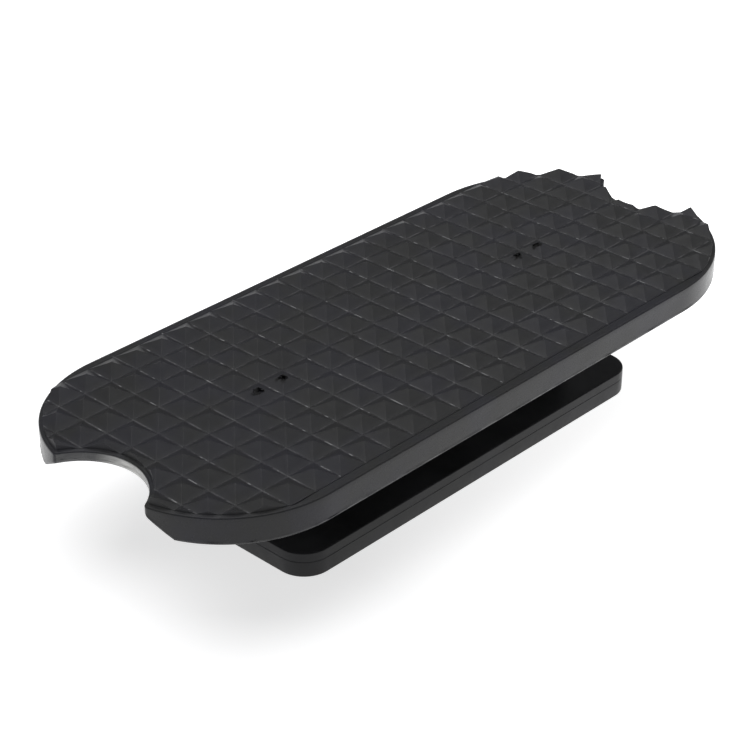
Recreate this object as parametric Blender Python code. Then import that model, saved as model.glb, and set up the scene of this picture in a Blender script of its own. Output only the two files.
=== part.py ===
"""Clamp-on rubber tread for a riding stirrup, as an assembly of separate solids.

A studded foot pad lies on the stirrup iron's slotted footplate. A neck block
fills the slot, and a smaller retaining plate below the footplate is drawn up
against it by two countersunk screws, which turn into threaded inserts fixed in
the steel core of the pad.

Frame: origin at the middle of the retaining plate's underside, +X along the
tread (its longest side), +Y across it, +Z up through the pad. Metres.
"""

import math

import bmesh
import bpy

# Driving dimensions, in metres.
PAD_WIDTH = 0.0490
PAD_THICKNESS = 0.0043          # underside to rim, without the studs
RIGHT_END = (0.0374, 0.0)       # centre of the arc that rounds the right end
LEFT_END = (0.0402, 0.0050)     # the left end is squarer: one arc above, one below
NOTCH_RADIUS = 0.0100           # hollow for the iron's branch
RIGHT_NOTCH_BOTTOM = 0.0546     # each notch's deepest point
LEFT_NOTCH_BOTTOM = 0.0536
TIP_RADIUS = 0.0008             # rounding where a notch meets the end
LIP_THICKNESS = 0.0016          # upright edge left above the relief
RELIEF_WIDTH = 0.0044           # sloping relief under each notch

SIDE_RIM = 0.0014               # plain edge along both long sides
END_RIM = 0.0006                # the same around the ends and the notches
STUD_LENGTH = 0.00474           # pyramid base along X
STUD_WIDTH = 0.00510            # pyramid base along Y
STUD_HEIGHT = 0.0012
STUD_ROWS = 9
GRID_SHIFT = 0.00095            # a valley lies this far right of the middle
VALLEY_STEP = 0.0001            # valleys stand this far above the rim

PLATE_LENGTH = 0.0745
PLATE_WIDTH = 0.0320
PLATE_THICKNESS = 0.0040
PLATE_CORNER = 0.0045
FOOTPLATE_GAP = 0.0126          # between retaining plate and pad

NECK_LENGTH = 0.0630
NECK_WIDTH = 0.0200
NECK_CORNER = 0.0060

CORE_LENGTH = 0.0900
CORE_WIDTH = 0.0340
CORE_CORNER = 0.0060
CORE_THICKNESS = 0.0012
CORE_DEPTH = 0.0011             # rubber between the core and the underside

SCREW_X = 0.0240                # each fastener's distance from the middle
SHANK_RADIUS = 0.0020
SCREW_LENGTH = 0.0160
HEAD_RADIUS = 0.0040
HEAD_LAND = 0.0003              # straight edge of the countersunk head
HEAD_RECESS = 0.0004
SOCKET_ACROSS_FLATS = 0.0025
SOCKET_DEPTH = 0.0015

WASHER_THICKNESS = 0.0005
WASHER_RECESS = 0.0003
WASHER_TOP = 0.00275

INSERT_RADIUS = 0.0032
INSERT_FOOT = 0.0094            # height of the insert's lower end
FLANGE_RADIUS = 0.0042
FLANGE_THICKNESS = 0.0004

PIN_MARK_RADIUS = 0.0005        # left by the pins that held the core in the mould
PIN_MARK_SPACING = 0.0048
PIN_MARK_X = 0.0284
PIN_MARK_SHIFT = 0.0005         # both pairs lie this far right of the middle
PIN_MARK_DEPTH = 0.0010         # below the studs' tips

CLEARANCE = 0.0003              # between pieces that touch
OVERSHOOT = 0.0020              # how far a cutter runs past a face

# Heights worked out from them.
PLATE_TOP = PLATE_THICKNESS
PAD_BOTTOM = PLATE_TOP + FOOTPLATE_GAP
RIM_TOP = PAD_BOTTOM + PAD_THICKNESS
VALLEY = RIM_TOP + VALLEY_STEP
STUD_TOP = VALLEY + STUD_HEIGHT
CORE_BOTTOM = PAD_BOTTOM + CORE_DEPTH
CORE_TOP = CORE_BOTTOM + CORE_THICKNESS
FLANGE_TOP = CORE_TOP + 0.0001
CAVITY_TOP = FLANGE_TOP + CLEARANCE


def clear_scene():
    """Start from an empty scene."""
    for old in list(bpy.data.objects):
        bpy.data.objects.remove(old, do_unlink=True)


def material(name, colour, roughness, metallic=0.0):
    """A Principled BSDF material."""
    made = bpy.data.materials.new(name)
    made.use_nodes = True
    shader = made.node_tree.nodes["Principled BSDF"]
    shader.inputs["Base Color"].default_value = (*colour, 1.0)
    shader.inputs["Roughness"].default_value = roughness
    shader.inputs["Metallic"].default_value = metallic
    return made


def finish_mesh(name, bm):
    """Turn a bmesh into an object whose faces point out."""
    bmesh.ops.remove_doubles(bm, verts=bm.verts, dist=1e-6)
    bmesh.ops.recalc_face_normals(bm, faces=bm.faces)
    mesh = bpy.data.meshes.new(name)
    bm.to_mesh(mesh)
    bm.free()
    made = bpy.data.objects.new(name, mesh)
    bpy.context.scene.collection.objects.link(made)
    return made


def shade_round(piece):
    """Smooth shading with the real edges kept sharp."""
    piece.data.shade_smooth()
    piece.data.set_sharp_from_angle(angle=math.radians(35))


def boolean(piece, operand, operation):
    """Combine a piece with a hidden operand, which is no part of the model."""
    step = piece.modifiers.new(operation.title() + " " + operand.name, "BOOLEAN")
    step.object = operand
    step.operation = operation
    step.solver = "EXACT"
    operand.hide_render = True
    operand.display_type = "WIRE"


def arc(centre, radius, start, end, steps):
    """Points along an arc, both ends included, angles in radians."""
    points = []
    for i in range(steps + 1):
        angle = start + (end - start) * i / steps
        x = centre[0] + radius * math.cos(angle)
        y = centre[1] + radius * math.sin(angle)
        points.append((x, y))
    return points


def prism(bm, outline, low, high):
    """A straight-sided solid over a closed outline; returns its top vertices."""
    bottom = [bm.verts.new((x, y, low)) for x, y in outline]
    top = [bm.verts.new((x, y, high)) for x, y in outline]
    bm.faces.new(bottom[::-1])
    bm.faces.new(top)
    for i in range(len(outline)):
        j = (i + 1) % len(outline)
        bm.faces.new((bottom[i], bottom[j], top[j], top[i]))
    return top


def rounded_rectangle(length, width, radius, steps=6):
    """Closed outline of a rectangle with round corners, about the origin."""
    x = length / 2 - radius
    y = width / 2 - radius
    quarter = math.pi / 2
    outline = []
    for i, centre in enumerate(((x, y), (-x, y), (-x, -y), (x, -y))):
        outline += arc(centre, radius, i * quarter, (i + 1) * quarter, steps)
    return outline


def circle(centre, radius, steps):
    """Closed outline of a circle."""
    return arc(centre, radius, 0.0, 2 * math.pi, steps)[:-1]


def turned(name, profile, steps=32):
    """A solid of revolution about Z from a closed (radius, height) profile.

    A profile may start and end on the axis, where a ring shrinks to one point.
    """
    bm = bmesh.new()
    rings = []
    for radius, height in profile:
        places = circle((0.0, 0.0), radius, steps) if radius > 0 else [(0.0, 0.0)]
        rings.append([bm.verts.new((x, y, height)) for x, y in places])
    for ring, following in zip(rings, rings[1:] + rings[:1]):
        for i in range(steps):
            j = (i + 1) % steps
            corners = [ring[i % len(ring)], ring[j % len(ring)]]
            corners += [following[j % len(following)], following[i % len(following)]]
            unique = list(dict.fromkeys(corners))
            if len(unique) > 2:
                bm.faces.new(unique)
    made = finish_mesh(name, bm)
    shade_round(made)
    return made


def outline_quarter(inset, arc_centre, notch_bottom):
    """A quarter of the pad's outline, from the middle of a notch to the long side.

    It runs round half of the notch, the tip where the notch meets the end, and
    the end's own arc. The tip's circle touches the arc's from inside and the
    notch's from outside.
    """
    centre_x, centre_y = arc_centre
    end = PAD_WIDTH / 2 - centre_y - inset
    notch = NOTCH_RADIUS + inset
    tip = max(TIP_RADIUS - inset, 0.0001)
    notch_x = notch_bottom + NOTCH_RADIUS

    to_end = end - tip
    to_notch = notch + tip
    span = math.hypot(centre_x - notch_x, centre_y)
    along = ((centre_x - notch_x) / span, centre_y / span)
    reach = (to_notch ** 2 - to_end ** 2 + span ** 2) / (2 * span)
    aside = math.sqrt(to_notch ** 2 - reach ** 2)
    tip_x = notch_x + reach * along[0] + aside * along[1]
    tip_y = reach * along[1] - aside * along[0]

    into_notch = math.atan2(tip_y, tip_x - notch_x)
    into_end = math.atan2(tip_y - centre_y, tip_x - centre_x)
    quarter = arc((notch_x, 0.0), notch, math.pi, into_notch, 10)
    quarter += arc((tip_x, tip_y), tip, into_notch - math.pi, into_end, 4)[1:]
    quarter += arc((centre_x, centre_y), end, into_end, math.pi / 2, 16)[1:]
    return quarter


def pad_outline(inset):
    """Outline of the foot pad, moved inwards by inset."""
    right = outline_quarter(inset, RIGHT_END, RIGHT_NOTCH_BOTTOM)
    left = outline_quarter(inset, LEFT_END, LEFT_NOTCH_BOTTOM)
    upper_left = [(-x, y) for x, y in reversed(left)]
    lower_left = [(-x, -y) for x, y in left[1:]]
    lower_right = [(x, -y) for x, y in reversed(right[1:])]
    return right + upper_left + lower_left + lower_right


def split_beside_neck(bm):
    """Divide a solid's faces along the neck's sides, so that each clamping face is its own."""
    for side in (-1, 1):
        parts = bm.verts[:] + bm.edges[:] + bm.faces[:]
        line = (0.0, side * (NECK_WIDTH / 2 + CLEARANCE), 0.0)
        bmesh.ops.bisect_plane(bm, geom=parts, plane_co=line, plane_no=(0.0, 1.0, 0.0), dist=1e-6)


def pad_slab():
    """The pad below its studs."""
    bm = bmesh.new()
    prism(bm, pad_outline(0.0), PAD_BOTTOM, RIM_TOP)
    split_beside_neck(bm)
    return finish_mesh("tread_pad", bm)


def notch_reliefs():
    """Cones that hollow the underside around both notches."""
    slope = (PAD_THICKNESS - LIP_THICKNESS) / RELIEF_WIDTH
    low = PAD_BOTTOM - OVERSHOOT
    peak = RIM_TOP - LIP_THICKNESS + NOTCH_RADIUS * slope
    bm = bmesh.new()
    for notch_x in (-LEFT_NOTCH_BOTTOM - NOTCH_RADIUS, RIGHT_NOTCH_BOTTOM + NOTCH_RADIUS):
        cone = bmesh.ops.create_cone(
            bm,
            cap_ends=True,
            segments=64,
            radius1=(peak - low) / slope,
            radius2=0.0,
            depth=peak - low,
        )
        for vert in cone["verts"]:
            vert.co.x += notch_x
            vert.co.z += (peak + low) / 2
    return finish_mesh("notch_reliefs", bm)


def stud_field():
    """Rows of pyramids over the whole pad, standing in the slab below them."""
    columns = 2 * math.ceil((RIGHT_END[0] + PAD_WIDTH / 2) / STUD_LENGTH)
    rows = STUD_ROWS + 2
    left = GRID_SHIFT - columns / 2 * STUD_LENGTH
    front = -rows / 2 * STUD_WIDTH
    low = RIM_TOP - PAD_THICKNESS / 4
    bm = bmesh.new()
    corners = []
    for i in range(columns + 1):
        line = []
        for j in range(rows + 1):
            line.append(bm.verts.new((left + i * STUD_LENGTH, front + j * STUD_WIDTH, VALLEY)))
        corners.append(line)
    for i in range(columns):
        for j in range(rows):
            x = left + (i + 0.5) * STUD_LENGTH
            y = front + (j + 0.5) * STUD_WIDTH
            peak = bm.verts.new((x, y, STUD_TOP))
            base = (corners[i][j], corners[i + 1][j], corners[i + 1][j + 1], corners[i][j + 1])
            for k in range(4):
                bm.faces.new((base[k], base[(k + 1) % 4], peak))
    border = [edge for edge in bm.edges if edge.is_boundary]
    walls = bmesh.ops.extrude_edge_only(bm, edges=border)["geom"]
    low_verts = [item for item in walls if isinstance(item, bmesh.types.BMVert)]
    for vert in low_verts:
        vert.co.z = low
    bottom = [edge for edge in bm.edges if edge.is_boundary]
    bmesh.ops.contextual_create(bm, geom=bottom)
    return finish_mesh("stud_field", bm)


def stud_area():
    """The space inside the pad's plain rim."""
    limit = PAD_WIDTH / 2 - SIDE_RIM
    outline = [(x, min(max(y, -limit), limit)) for x, y in pad_outline(END_RIM)]
    bm = bmesh.new()
    prism(bm, outline, PAD_BOTTOM, STUD_TOP + OVERSHOOT)
    return finish_mesh("stud_area", bm)


def core_cavity():
    """The space that the steel core and the inserts take up in the rubber."""
    bm = bmesh.new()
    outline = rounded_rectangle(
        CORE_LENGTH + 2 * CLEARANCE,
        CORE_WIDTH + 2 * CLEARANCE,
        CORE_CORNER + CLEARANCE,
    )
    prism(bm, outline, CORE_BOTTOM - CLEARANCE, CAVITY_TOP)
    return finish_mesh("core_cavity", bm)


def round_cutters(name, places, radius, low, high, steps=24):
    """Upright cylinders that cut the same hole in several places."""
    bm = bmesh.new()
    for place in places:
        prism(bm, circle(place, radius, steps), low, high)
    return finish_mesh(name, bm)


def pin_mark_places():
    """Two pairs of small pits on the pad's centre line."""
    places = []
    for side in (-1, 1):
        for half in (-0.5, 0.5):
            places.append((side * PIN_MARK_X + half * PIN_MARK_SPACING + PIN_MARK_SHIFT, 0.0))
    return places


def tread_pad(fastener_places):
    """The moulded rubber foot pad."""
    pad = pad_slab()
    studs = stud_field()
    boolean(studs, stud_area(), "INTERSECT")
    boolean(pad, studs, "UNION")
    boolean(pad, notch_reliefs(), "DIFFERENCE")
    boolean(pad, core_cavity(), "DIFFERENCE")
    insert_holes = round_cutters(
        "insert_holes",
        fastener_places,
        INSERT_RADIUS + CLEARANCE,
        PAD_BOTTOM - OVERSHOOT,
        CORE_BOTTOM,
    )
    boolean(pad, insert_holes, "DIFFERENCE")
    pin_marks = round_cutters(
        "pin_marks",
        pin_mark_places(),
        PIN_MARK_RADIUS,
        STUD_TOP - PIN_MARK_DEPTH,
        STUD_TOP + OVERSHOOT,
        steps=10,
    )
    boolean(pad, pin_marks, "DIFFERENCE")
    pad.data.materials.append(material("tread_rubber", (0.020, 0.020, 0.023), 0.62))
    return pad


def core_plate(fastener_places):
    """Steel stiffener inside the pad, counterbored for the inserts' flanges."""
    bm = bmesh.new()
    prism(bm, rounded_rectangle(CORE_LENGTH, CORE_WIDTH, CORE_CORNER), CORE_BOTTOM, CORE_TOP)
    core = finish_mesh("pad_core_plate", bm)
    bores = round_cutters(
        "core_bores",
        fastener_places,
        INSERT_RADIUS + CLEARANCE,
        CORE_BOTTOM - OVERSHOOT,
        CORE_TOP + OVERSHOOT,
    )
    seats = round_cutters(
        "core_seats",
        fastener_places,
        FLANGE_RADIUS + CLEARANCE,
        FLANGE_TOP - FLANGE_THICKNESS - CLEARANCE,
        CORE_TOP + OVERSHOOT,
    )
    boolean(core, bores, "DIFFERENCE")
    boolean(core, seats, "DIFFERENCE")
    core.data.materials.append(material("core_steel", (0.45, 0.46, 0.48), 0.38, 1.0))
    return core


def threaded_insert(metal):
    """Flanged bush that the screw turns into."""
    bore = SHANK_RADIUS + CLEARANCE
    flange_bottom = FLANGE_TOP - FLANGE_THICKNESS
    insert = turned(
        "threaded_insert",
        [
            (bore, INSERT_FOOT),
            (INSERT_RADIUS, INSERT_FOOT),
            (INSERT_RADIUS, flange_bottom),
            (FLANGE_RADIUS, flange_bottom),
            (FLANGE_RADIUS, FLANGE_TOP),
            (bore, FLANGE_TOP),
        ],
    )
    insert.data.materials.append(metal)
    return insert


def neck_block(fastener_places):
    """Block that fills the footplate's slot and spaces the plate from the pad."""
    low = PLATE_TOP + CLEARANCE
    high = PAD_BOTTOM - CLEARANCE
    bm = bmesh.new()
    prism(bm, rounded_rectangle(NECK_LENGTH, NECK_WIDTH, NECK_CORNER), low, high)
    neck = finish_mesh("neck_block", bm)
    insert_bores = round_cutters(
        "neck_insert_bores",
        fastener_places,
        INSERT_RADIUS + CLEARANCE,
        INSERT_FOOT - CLEARANCE,
        high + OVERSHOOT,
    )
    screw_bores = round_cutters(
        "neck_screw_bores",
        fastener_places,
        SHANK_RADIUS + CLEARANCE,
        low - OVERSHOOT,
        high + OVERSHOOT,
    )
    boolean(neck, insert_bores, "DIFFERENCE")
    boolean(neck, screw_bores, "DIFFERENCE")
    neck.data.materials.append(material("neck_rubber", (0.016, 0.016, 0.017), 0.70))
    return neck


def cone_sum(gap_layers):
    """Radius plus height along a 45 degree cone outside the screw's head.

    gap_layers is the distance from the head's cone, square to its surface.
    """
    head = HEAD_RADIUS + HEAD_RECESS + HEAD_LAND
    return head + gap_layers * math.sqrt(2)


def countersinks(fastener_places):
    """Cones that seat the washers in the retaining plate."""
    seat = cone_sum(2 * CLEARANCE + WASHER_THICKNESS)
    bm = bmesh.new()
    for x, y in fastener_places:
        cone = bmesh.ops.create_cone(
            bm,
            cap_ends=True,
            segments=32,
            radius1=seat + OVERSHOOT,
            radius2=seat - PLATE_TOP - OVERSHOOT,
            depth=PLATE_TOP + 2 * OVERSHOOT,
        )
        for vert in cone["verts"]:
            vert.co.x += x
            vert.co.y += y
            vert.co.z += PLATE_TOP / 2
    return finish_mesh("plate_countersinks", bm)


def retaining_plate(fastener_places):
    """Rubber plate that clamps the footplate from below."""
    bm = bmesh.new()
    prism(bm, rounded_rectangle(PLATE_LENGTH, PLATE_WIDTH, PLATE_CORNER), 0.0, PLATE_TOP)
    split_beside_neck(bm)
    plate = finish_mesh("retaining_plate", bm)
    bores = round_cutters(
        "plate_bores",
        fastener_places,
        SHANK_RADIUS + 2 * CLEARANCE,
        -OVERSHOOT,
        PLATE_TOP + OVERSHOOT,
    )
    boolean(plate, countersinks(fastener_places), "DIFFERENCE")
    boolean(plate, bores, "DIFFERENCE")
    plate.data.materials.append(material("plate_rubber", (0.018, 0.018, 0.019), 0.58))
    return plate


def cup_washer(metal):
    """Conical washer that spreads the screw head's load over the rubber."""
    inner = cone_sum(CLEARANCE)
    outer = cone_sum(CLEARANCE + WASHER_THICKNESS)
    washer = turned(
        "cup_washer",
        [
            (inner - WASHER_RECESS, WASHER_RECESS),
            (outer - WASHER_RECESS, WASHER_RECESS),
            (outer - WASHER_TOP, WASHER_TOP),
            (inner - WASHER_TOP, WASHER_TOP),
        ],
    )
    washer.data.materials.append(metal)
    return washer


def clamp_screw(metal):
    """Countersunk screw with its axis on Z and its head down."""
    land_top = HEAD_RECESS + HEAD_LAND
    neck_height = land_top + HEAD_RADIUS - SHANK_RADIUS
    chamfer = SHANK_RADIUS / 4
    end = HEAD_RECESS + SCREW_LENGTH
    screw = turned(
        "clamp_screw",
        [
            (0.0, HEAD_RECESS),
            (HEAD_RADIUS, HEAD_RECESS),
            (HEAD_RADIUS, land_top),
            (SHANK_RADIUS, neck_height),
            (SHANK_RADIUS, end - chamfer),
            (SHANK_RADIUS - chamfer, end),
            (0.0, end),
        ],
    )
    screw.data.materials.append(metal)
    return screw


def socket_cutters(fastener_places):
    """Hexagon sockets in the screw heads."""
    radius = SOCKET_ACROSS_FLATS / math.sqrt(3)
    return round_cutters(
        "hex_sockets",
        fastener_places,
        radius,
        HEAD_RECESS - OVERSHOOT,
        HEAD_RECESS + SOCKET_DEPTH,
        steps=6,
    )


def place_pair(piece, assembly):
    """Put one piece at the left fastener and a copy of it at the right one."""
    copy = piece.copy()
    bpy.context.scene.collection.objects.link(copy)
    name = piece.name
    for made, side, label in ((piece, -1, "left"), (copy, 1, "right")):
        made.name = name + "_" + label
        made.location.x = side * SCREW_X
        made.parent = assembly
    return piece, copy


def build():
    """Model every sub-part and gather them under one empty."""
    clear_scene()
    assembly = bpy.data.objects.new("stirrup_tread", None)
    bpy.context.scene.collection.objects.link(assembly)

    places = [(-SCREW_X, 0.0), (SCREW_X, 0.0)]
    for piece in (
        tread_pad(places),
        core_plate(places),
        neck_block(places),
        retaining_plate(places),
    ):
        piece.parent = assembly

    brass = material("insert_brass", (0.72, 0.52, 0.24), 0.35, 1.0)
    steel = material("screw_steel", (0.55, 0.56, 0.58), 0.30, 1.0)
    washer_steel = material("washer_steel", (0.50, 0.50, 0.51), 0.42, 1.0)
    place_pair(threaded_insert(brass), assembly)
    place_pair(cup_washer(washer_steel), assembly)
    screws = place_pair(clamp_screw(steel), assembly)
    sockets = socket_cutters(places)
    for screw in screws:
        boolean(screw, sockets, "DIFFERENCE")


build()
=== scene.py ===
"""Looks of the clamp-on stirrup tread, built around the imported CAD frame.

Every visible piece is rebuilt here in finer mesh work than its CAD solid: the
studded pad, the neck, the retaining plate and the fasteners. All lengths are
in metres. Outlines and profiles are worked out by functions, and their places
come from the frame.
"""

import math
import random

import bmesh
import bpy
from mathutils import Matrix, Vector, noise


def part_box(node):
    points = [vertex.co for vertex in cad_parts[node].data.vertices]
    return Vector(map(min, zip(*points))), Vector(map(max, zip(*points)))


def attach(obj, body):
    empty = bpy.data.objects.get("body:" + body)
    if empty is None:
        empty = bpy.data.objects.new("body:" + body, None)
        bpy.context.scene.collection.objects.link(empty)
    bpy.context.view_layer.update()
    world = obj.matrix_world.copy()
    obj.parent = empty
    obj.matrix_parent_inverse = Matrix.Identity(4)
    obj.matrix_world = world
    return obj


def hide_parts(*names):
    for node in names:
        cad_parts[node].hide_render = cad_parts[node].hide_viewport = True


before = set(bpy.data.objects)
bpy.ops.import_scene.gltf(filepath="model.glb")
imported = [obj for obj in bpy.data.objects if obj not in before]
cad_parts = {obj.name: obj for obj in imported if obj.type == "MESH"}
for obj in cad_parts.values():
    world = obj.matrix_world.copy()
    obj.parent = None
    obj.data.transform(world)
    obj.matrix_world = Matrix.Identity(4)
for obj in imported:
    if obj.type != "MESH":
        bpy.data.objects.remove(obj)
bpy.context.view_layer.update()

MM = 0.001

# The pad, from its CAD box and the design's own proportions.
pad_low, pad_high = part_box("tread_pad")
PAD_HALF_WIDTH = pad_high.y
PAD_BOTTOM = pad_low.z
STUD_TOP = pad_high.z
STUD_HEIGHT = 1.2 * MM
VALLEY = STUD_TOP - STUD_HEIGHT
RIM_TOP = VALLEY - 0.1 * MM     # the plain rim lies a little below the studs' valleys
PAD_THICKNESS = RIM_TOP - PAD_BOTTOM
RIGHT_END = (37.4 * MM, 0.0)    # centre of the arc that rounds the right end
LEFT_END = (40.2 * MM, 5.0 * MM)  # the left end is squarer: one arc in front, one behind
NOTCH_RADIUS = 10.0 * MM
RIGHT_NOTCH_X = 54.6 * MM + NOTCH_RADIUS  # the notches' axes, as distances from the middle
LEFT_NOTCH_X = 53.6 * MM + NOTCH_RADIUS
TIP_RADIUS = 0.8 * MM           # rounds the corners between notch and end
LIP_THICKNESS = 1.6 * MM        # of the pad around the notches, where it is hollowed below
RELIEF_WIDTH = 4.4 * MM         # over which that hollow runs out
SIDE_RIM = 1.4 * MM             # plain edge along both long sides
END_RIM = 0.6 * MM              # the same around the ends and the notches
STUDS_HALF_WIDTH = PAD_HALF_WIDTH - SIDE_RIM
RIM_EDGE = 0.28 * MM            # rounds the top of the wall
RIM_CROWN = 0.04 * MM           # the plain rim's fall towards that edge
FOOT_EDGE = 0.22 * MM           # rounds the foot of the wall
WALL_FOOT = 0.50 * MM           # above the underside: the smooth wall ends, the flash starts
FLASH_SEED = 9.2

# The stud grid.
STUD_LENGTH = 4.74 * MM
STUD_WIDTH = 5.10 * MM
STUD_ROWS = 9
GRID_SHIFT = 0.95 * MM          # of the groove next to the middle
GROOVE_HALF = 0.05 * MM         # half of the flat line between two studs
RIDGE_ROUND = 0.03 * MM
RIDGE_GUARD = 0.20 * MM         # keeps a stud's flat faces flat beside its ridges
RIDGE_SPREAD = (0.7, 1.35)      # least and most rounding of one stud, against RIDGE_ROUND
TALLNESS = (0.965, 1.0)         # least and most height of one stud, against STUD_HEIGHT
BLUNTNESS = (0.05, 0.09)        # share of a stud's slope over which its tip is rounded
FOOT_FILLET = 0.05              # the same for the fillet along its foot
TIP_LEAN = 0.04 * MM            # the farthest a tip lies from its stud's middle, per axis
BLOCK_DEPTH = 0.8 * MM          # how far the block under the studs reaches into the pad
STUD_SEED = 7

# Stud tips that were torn when the pad left its mould, in millimetres.
PIN_MARKS = ((-30.3, -0.3), (-25.4, -0.2), (26.5, 0.1), (31.3, 0.2))
PIN_DEPTH = 0.25 * MM
TEAR_RADIUS = 0.5 * MM
TEAR_SEED = 23

# Fasteners, all on the screws' axes.
screw_low, screw_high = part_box("clamp_screw_right")
insert_low, insert_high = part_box("threaded_insert_right")
washer_low, washer_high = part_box("cup_washer_right")
SCREW_X = (screw_low.x + screw_high.x) / 2
HEAD_RADIUS = (screw_high.x - screw_low.x) / 2
HEAD_FACE = screw_low.z
HEAD_LAND = 0.3 * MM
SHANK_RADIUS = 2.0 * MM
SOCKET_ACROSS_FLATS = 2.5 * MM
SOCKET_DEPTH = 1.5 * MM
THREAD_PITCH = 0.7 * MM
THREAD_DEPTH = 0.36 * MM
THREAD_LEVELS = 8               # rings of points in one turn of the thread
INSERT_RADIUS = 3.2 * MM
KNURL_DEPTH = 0.15 * MM
KNURL_RIDGES = 24               # around the barrel, in each of both directions
FLANGE_RADIUS = (insert_high.x - insert_low.x) / 2
FLANGE_THICKNESS = 0.4 * MM
WASHER_THICKNESS = 0.5 * MM
CLEARANCE = 0.3 * MM            # between pieces that touch in the real tread
OVERSHOOT = 2.0 * MM            # how far a cutter reaches past what it cuts

core_low, core_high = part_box("pad_core_plate")
plate_low, plate_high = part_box("retaining_plate")
neck_low, neck_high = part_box("neck_block")
PLATE_CORNER = 4.5 * MM
NECK_CORNER = 6.0 * MM
CORE_CORNER = 6.0 * MM
SEAM_HALF = 0.07 * MM           # half the height of the groove where two mould halves met
SEAM_DEPTH = 0.05 * MM
SMOOTH_ANGLE = 35               # degrees; a sharper bend than this stays a hard edge
TORN_ANGLE = 28


# ---------------------------------------------------------------- mesh helpers

def new_object(name, bm):
    """An object from a bmesh, shaded smooth with its real edges kept sharp."""
    bmesh.ops.remove_doubles(bm, verts=bm.verts, dist=1e-7)
    bmesh.ops.recalc_face_normals(bm, faces=bm.faces)
    mesh = bpy.data.meshes.new(name)
    bm.to_mesh(mesh)
    bm.free()
    mesh.shade_smooth()
    mesh.set_sharp_from_angle(angle=math.radians(SMOOTH_ANGLE))
    made = bpy.data.objects.new(name, mesh)
    bpy.context.scene.collection.objects.link(made)
    return made


def carve(piece, operand, operation, smooth_angle=SMOOTH_ANGLE):
    """Apply a Boolean with an operand that is then thrown away."""
    step = piece.modifiers.new(operation, "BOOLEAN")
    step.object = operand
    step.operation = operation
    step.solver = "EXACT"
    bpy.context.view_layer.update()
    evaluated = piece.evaluated_get(bpy.context.evaluated_depsgraph_get())
    mesh = bpy.data.meshes.new_from_object(evaluated)
    piece.modifiers.clear()
    piece.data = mesh
    mesh.shade_smooth()
    mesh.set_sharp_from_angle(angle=math.radians(smooth_angle))
    bpy.data.objects.remove(operand)


def arc(centre, radius, start, end, steps):
    """Points along an arc, both ends included, angles in radians."""
    points = []
    for i in range(steps + 1):
        angle = start + (end - start) * i / steps
        x = centre[0] + radius * math.cos(angle)
        y = centre[1] + radius * math.sin(angle)
        points.append((x, y))
    return points


def between(start, end, steps):
    """Points along a straight line, without its start."""
    points = []
    for i in range(1, steps + 1):
        t = i / steps
        x = start[0] + (end[0] - start[0]) * t
        y = start[1] + (end[1] - start[1]) * t
        points.append((x, y))
    return points


def loft(bm, rings, close_first=False, close_last=False):
    """Quads between rings of equally many points; returns the rings' vertices."""
    made = [[bm.verts.new(point) for point in ring] for ring in rings]
    for ring, following in zip(made, made[1:]):
        for i in range(len(ring)):
            j = (i + 1) % len(ring)
            bm.faces.new((ring[i], ring[j], following[j], following[i]))
    if close_first:
        bm.faces.new(made[0][::-1])
    if close_last:
        bm.faces.new(made[-1])
    return made


def level_circle(radius, height, steps):
    """A ring of points about the origin's upright axis."""
    circle = arc((0.0, 0.0), radius, 0.0, 2 * math.pi, steps)[:-1]
    return [(x, y, height) for x, y in circle]


def rounded_rectangle(half_x, half_y, radius, corner_steps=12, side_steps=24):
    """Closed outline of a rectangle with round corners, about the origin."""
    x = half_x - radius
    y = half_y - radius
    quarter = math.pi / 2
    outline = []
    for i, centre in enumerate(((x, y), (-x, y), (-x, -y), (x, -y))):
        if outline:
            start = arc(centre, radius, i * quarter, i * quarter, 1)[0]
            outline += between(outline[-1], start, side_steps)[:-1]
        outline += arc(centre, radius, i * quarter, (i + 1) * quarter, corner_steps)
    outline += between(outline[-1], outline[0], side_steps)[:-1]
    return outline


def turned(bm, profile, steps=64, centre=(0.0, 0.0)):
    """Turn a closed (radius, height) profile about an upright axis."""
    rings = []
    for radius, height in profile:
        if radius > 0:
            places = arc(centre, radius, 0.0, 2 * math.pi, steps)[:-1]
        else:
            places = [centre]
        rings.append([bm.verts.new((x, y, height)) for x, y in places])
    for ring, following in zip(rings, rings[1:] + rings[:1]):
        for i in range(steps):
            j = (i + 1) % steps
            corners = [ring[i % len(ring)], ring[j % len(ring)]]
            corners += [following[j % len(following)], following[i % len(following)]]
            unique = list(dict.fromkeys(corners))
            if len(unique) > 2:
                bm.faces.new(unique)


def round_corner(corner, arriving, leaving, radius, steps=4):
    """Points that round one corner of a profile between its two neighbours."""
    corner = Vector(corner)
    back = (Vector(arriving) - corner).normalized() * radius
    ahead = (Vector(leaving) - corner).normalized() * radius
    points = []
    for i in range(steps + 1):
        t = i / steps
        point = corner + back * (1 - t) ** 2 + ahead * t ** 2
        points.append((point.x, point.y))
    return points


def soften(profile, radius, steps=4):
    """A closed profile with every corner off the axis rounded."""
    made = []
    for i, corner in enumerate(profile):
        before, after = profile[i - 1], profile[(i + 1) % len(profile)]
        if corner[0] <= 0:
            made.append(corner)
        else:
            made += round_corner(corner, before, after, radius, steps)
    return made


def wobble(x, y, z, size, seed=0.0):
    """Smooth noise from -1 to 1 whose bumps are about size across."""
    return noise.noise(Vector((x / size + seed, y / size - seed, z / size + 2 * seed)))


# -------------------------------------------------------------------- the pad

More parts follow.
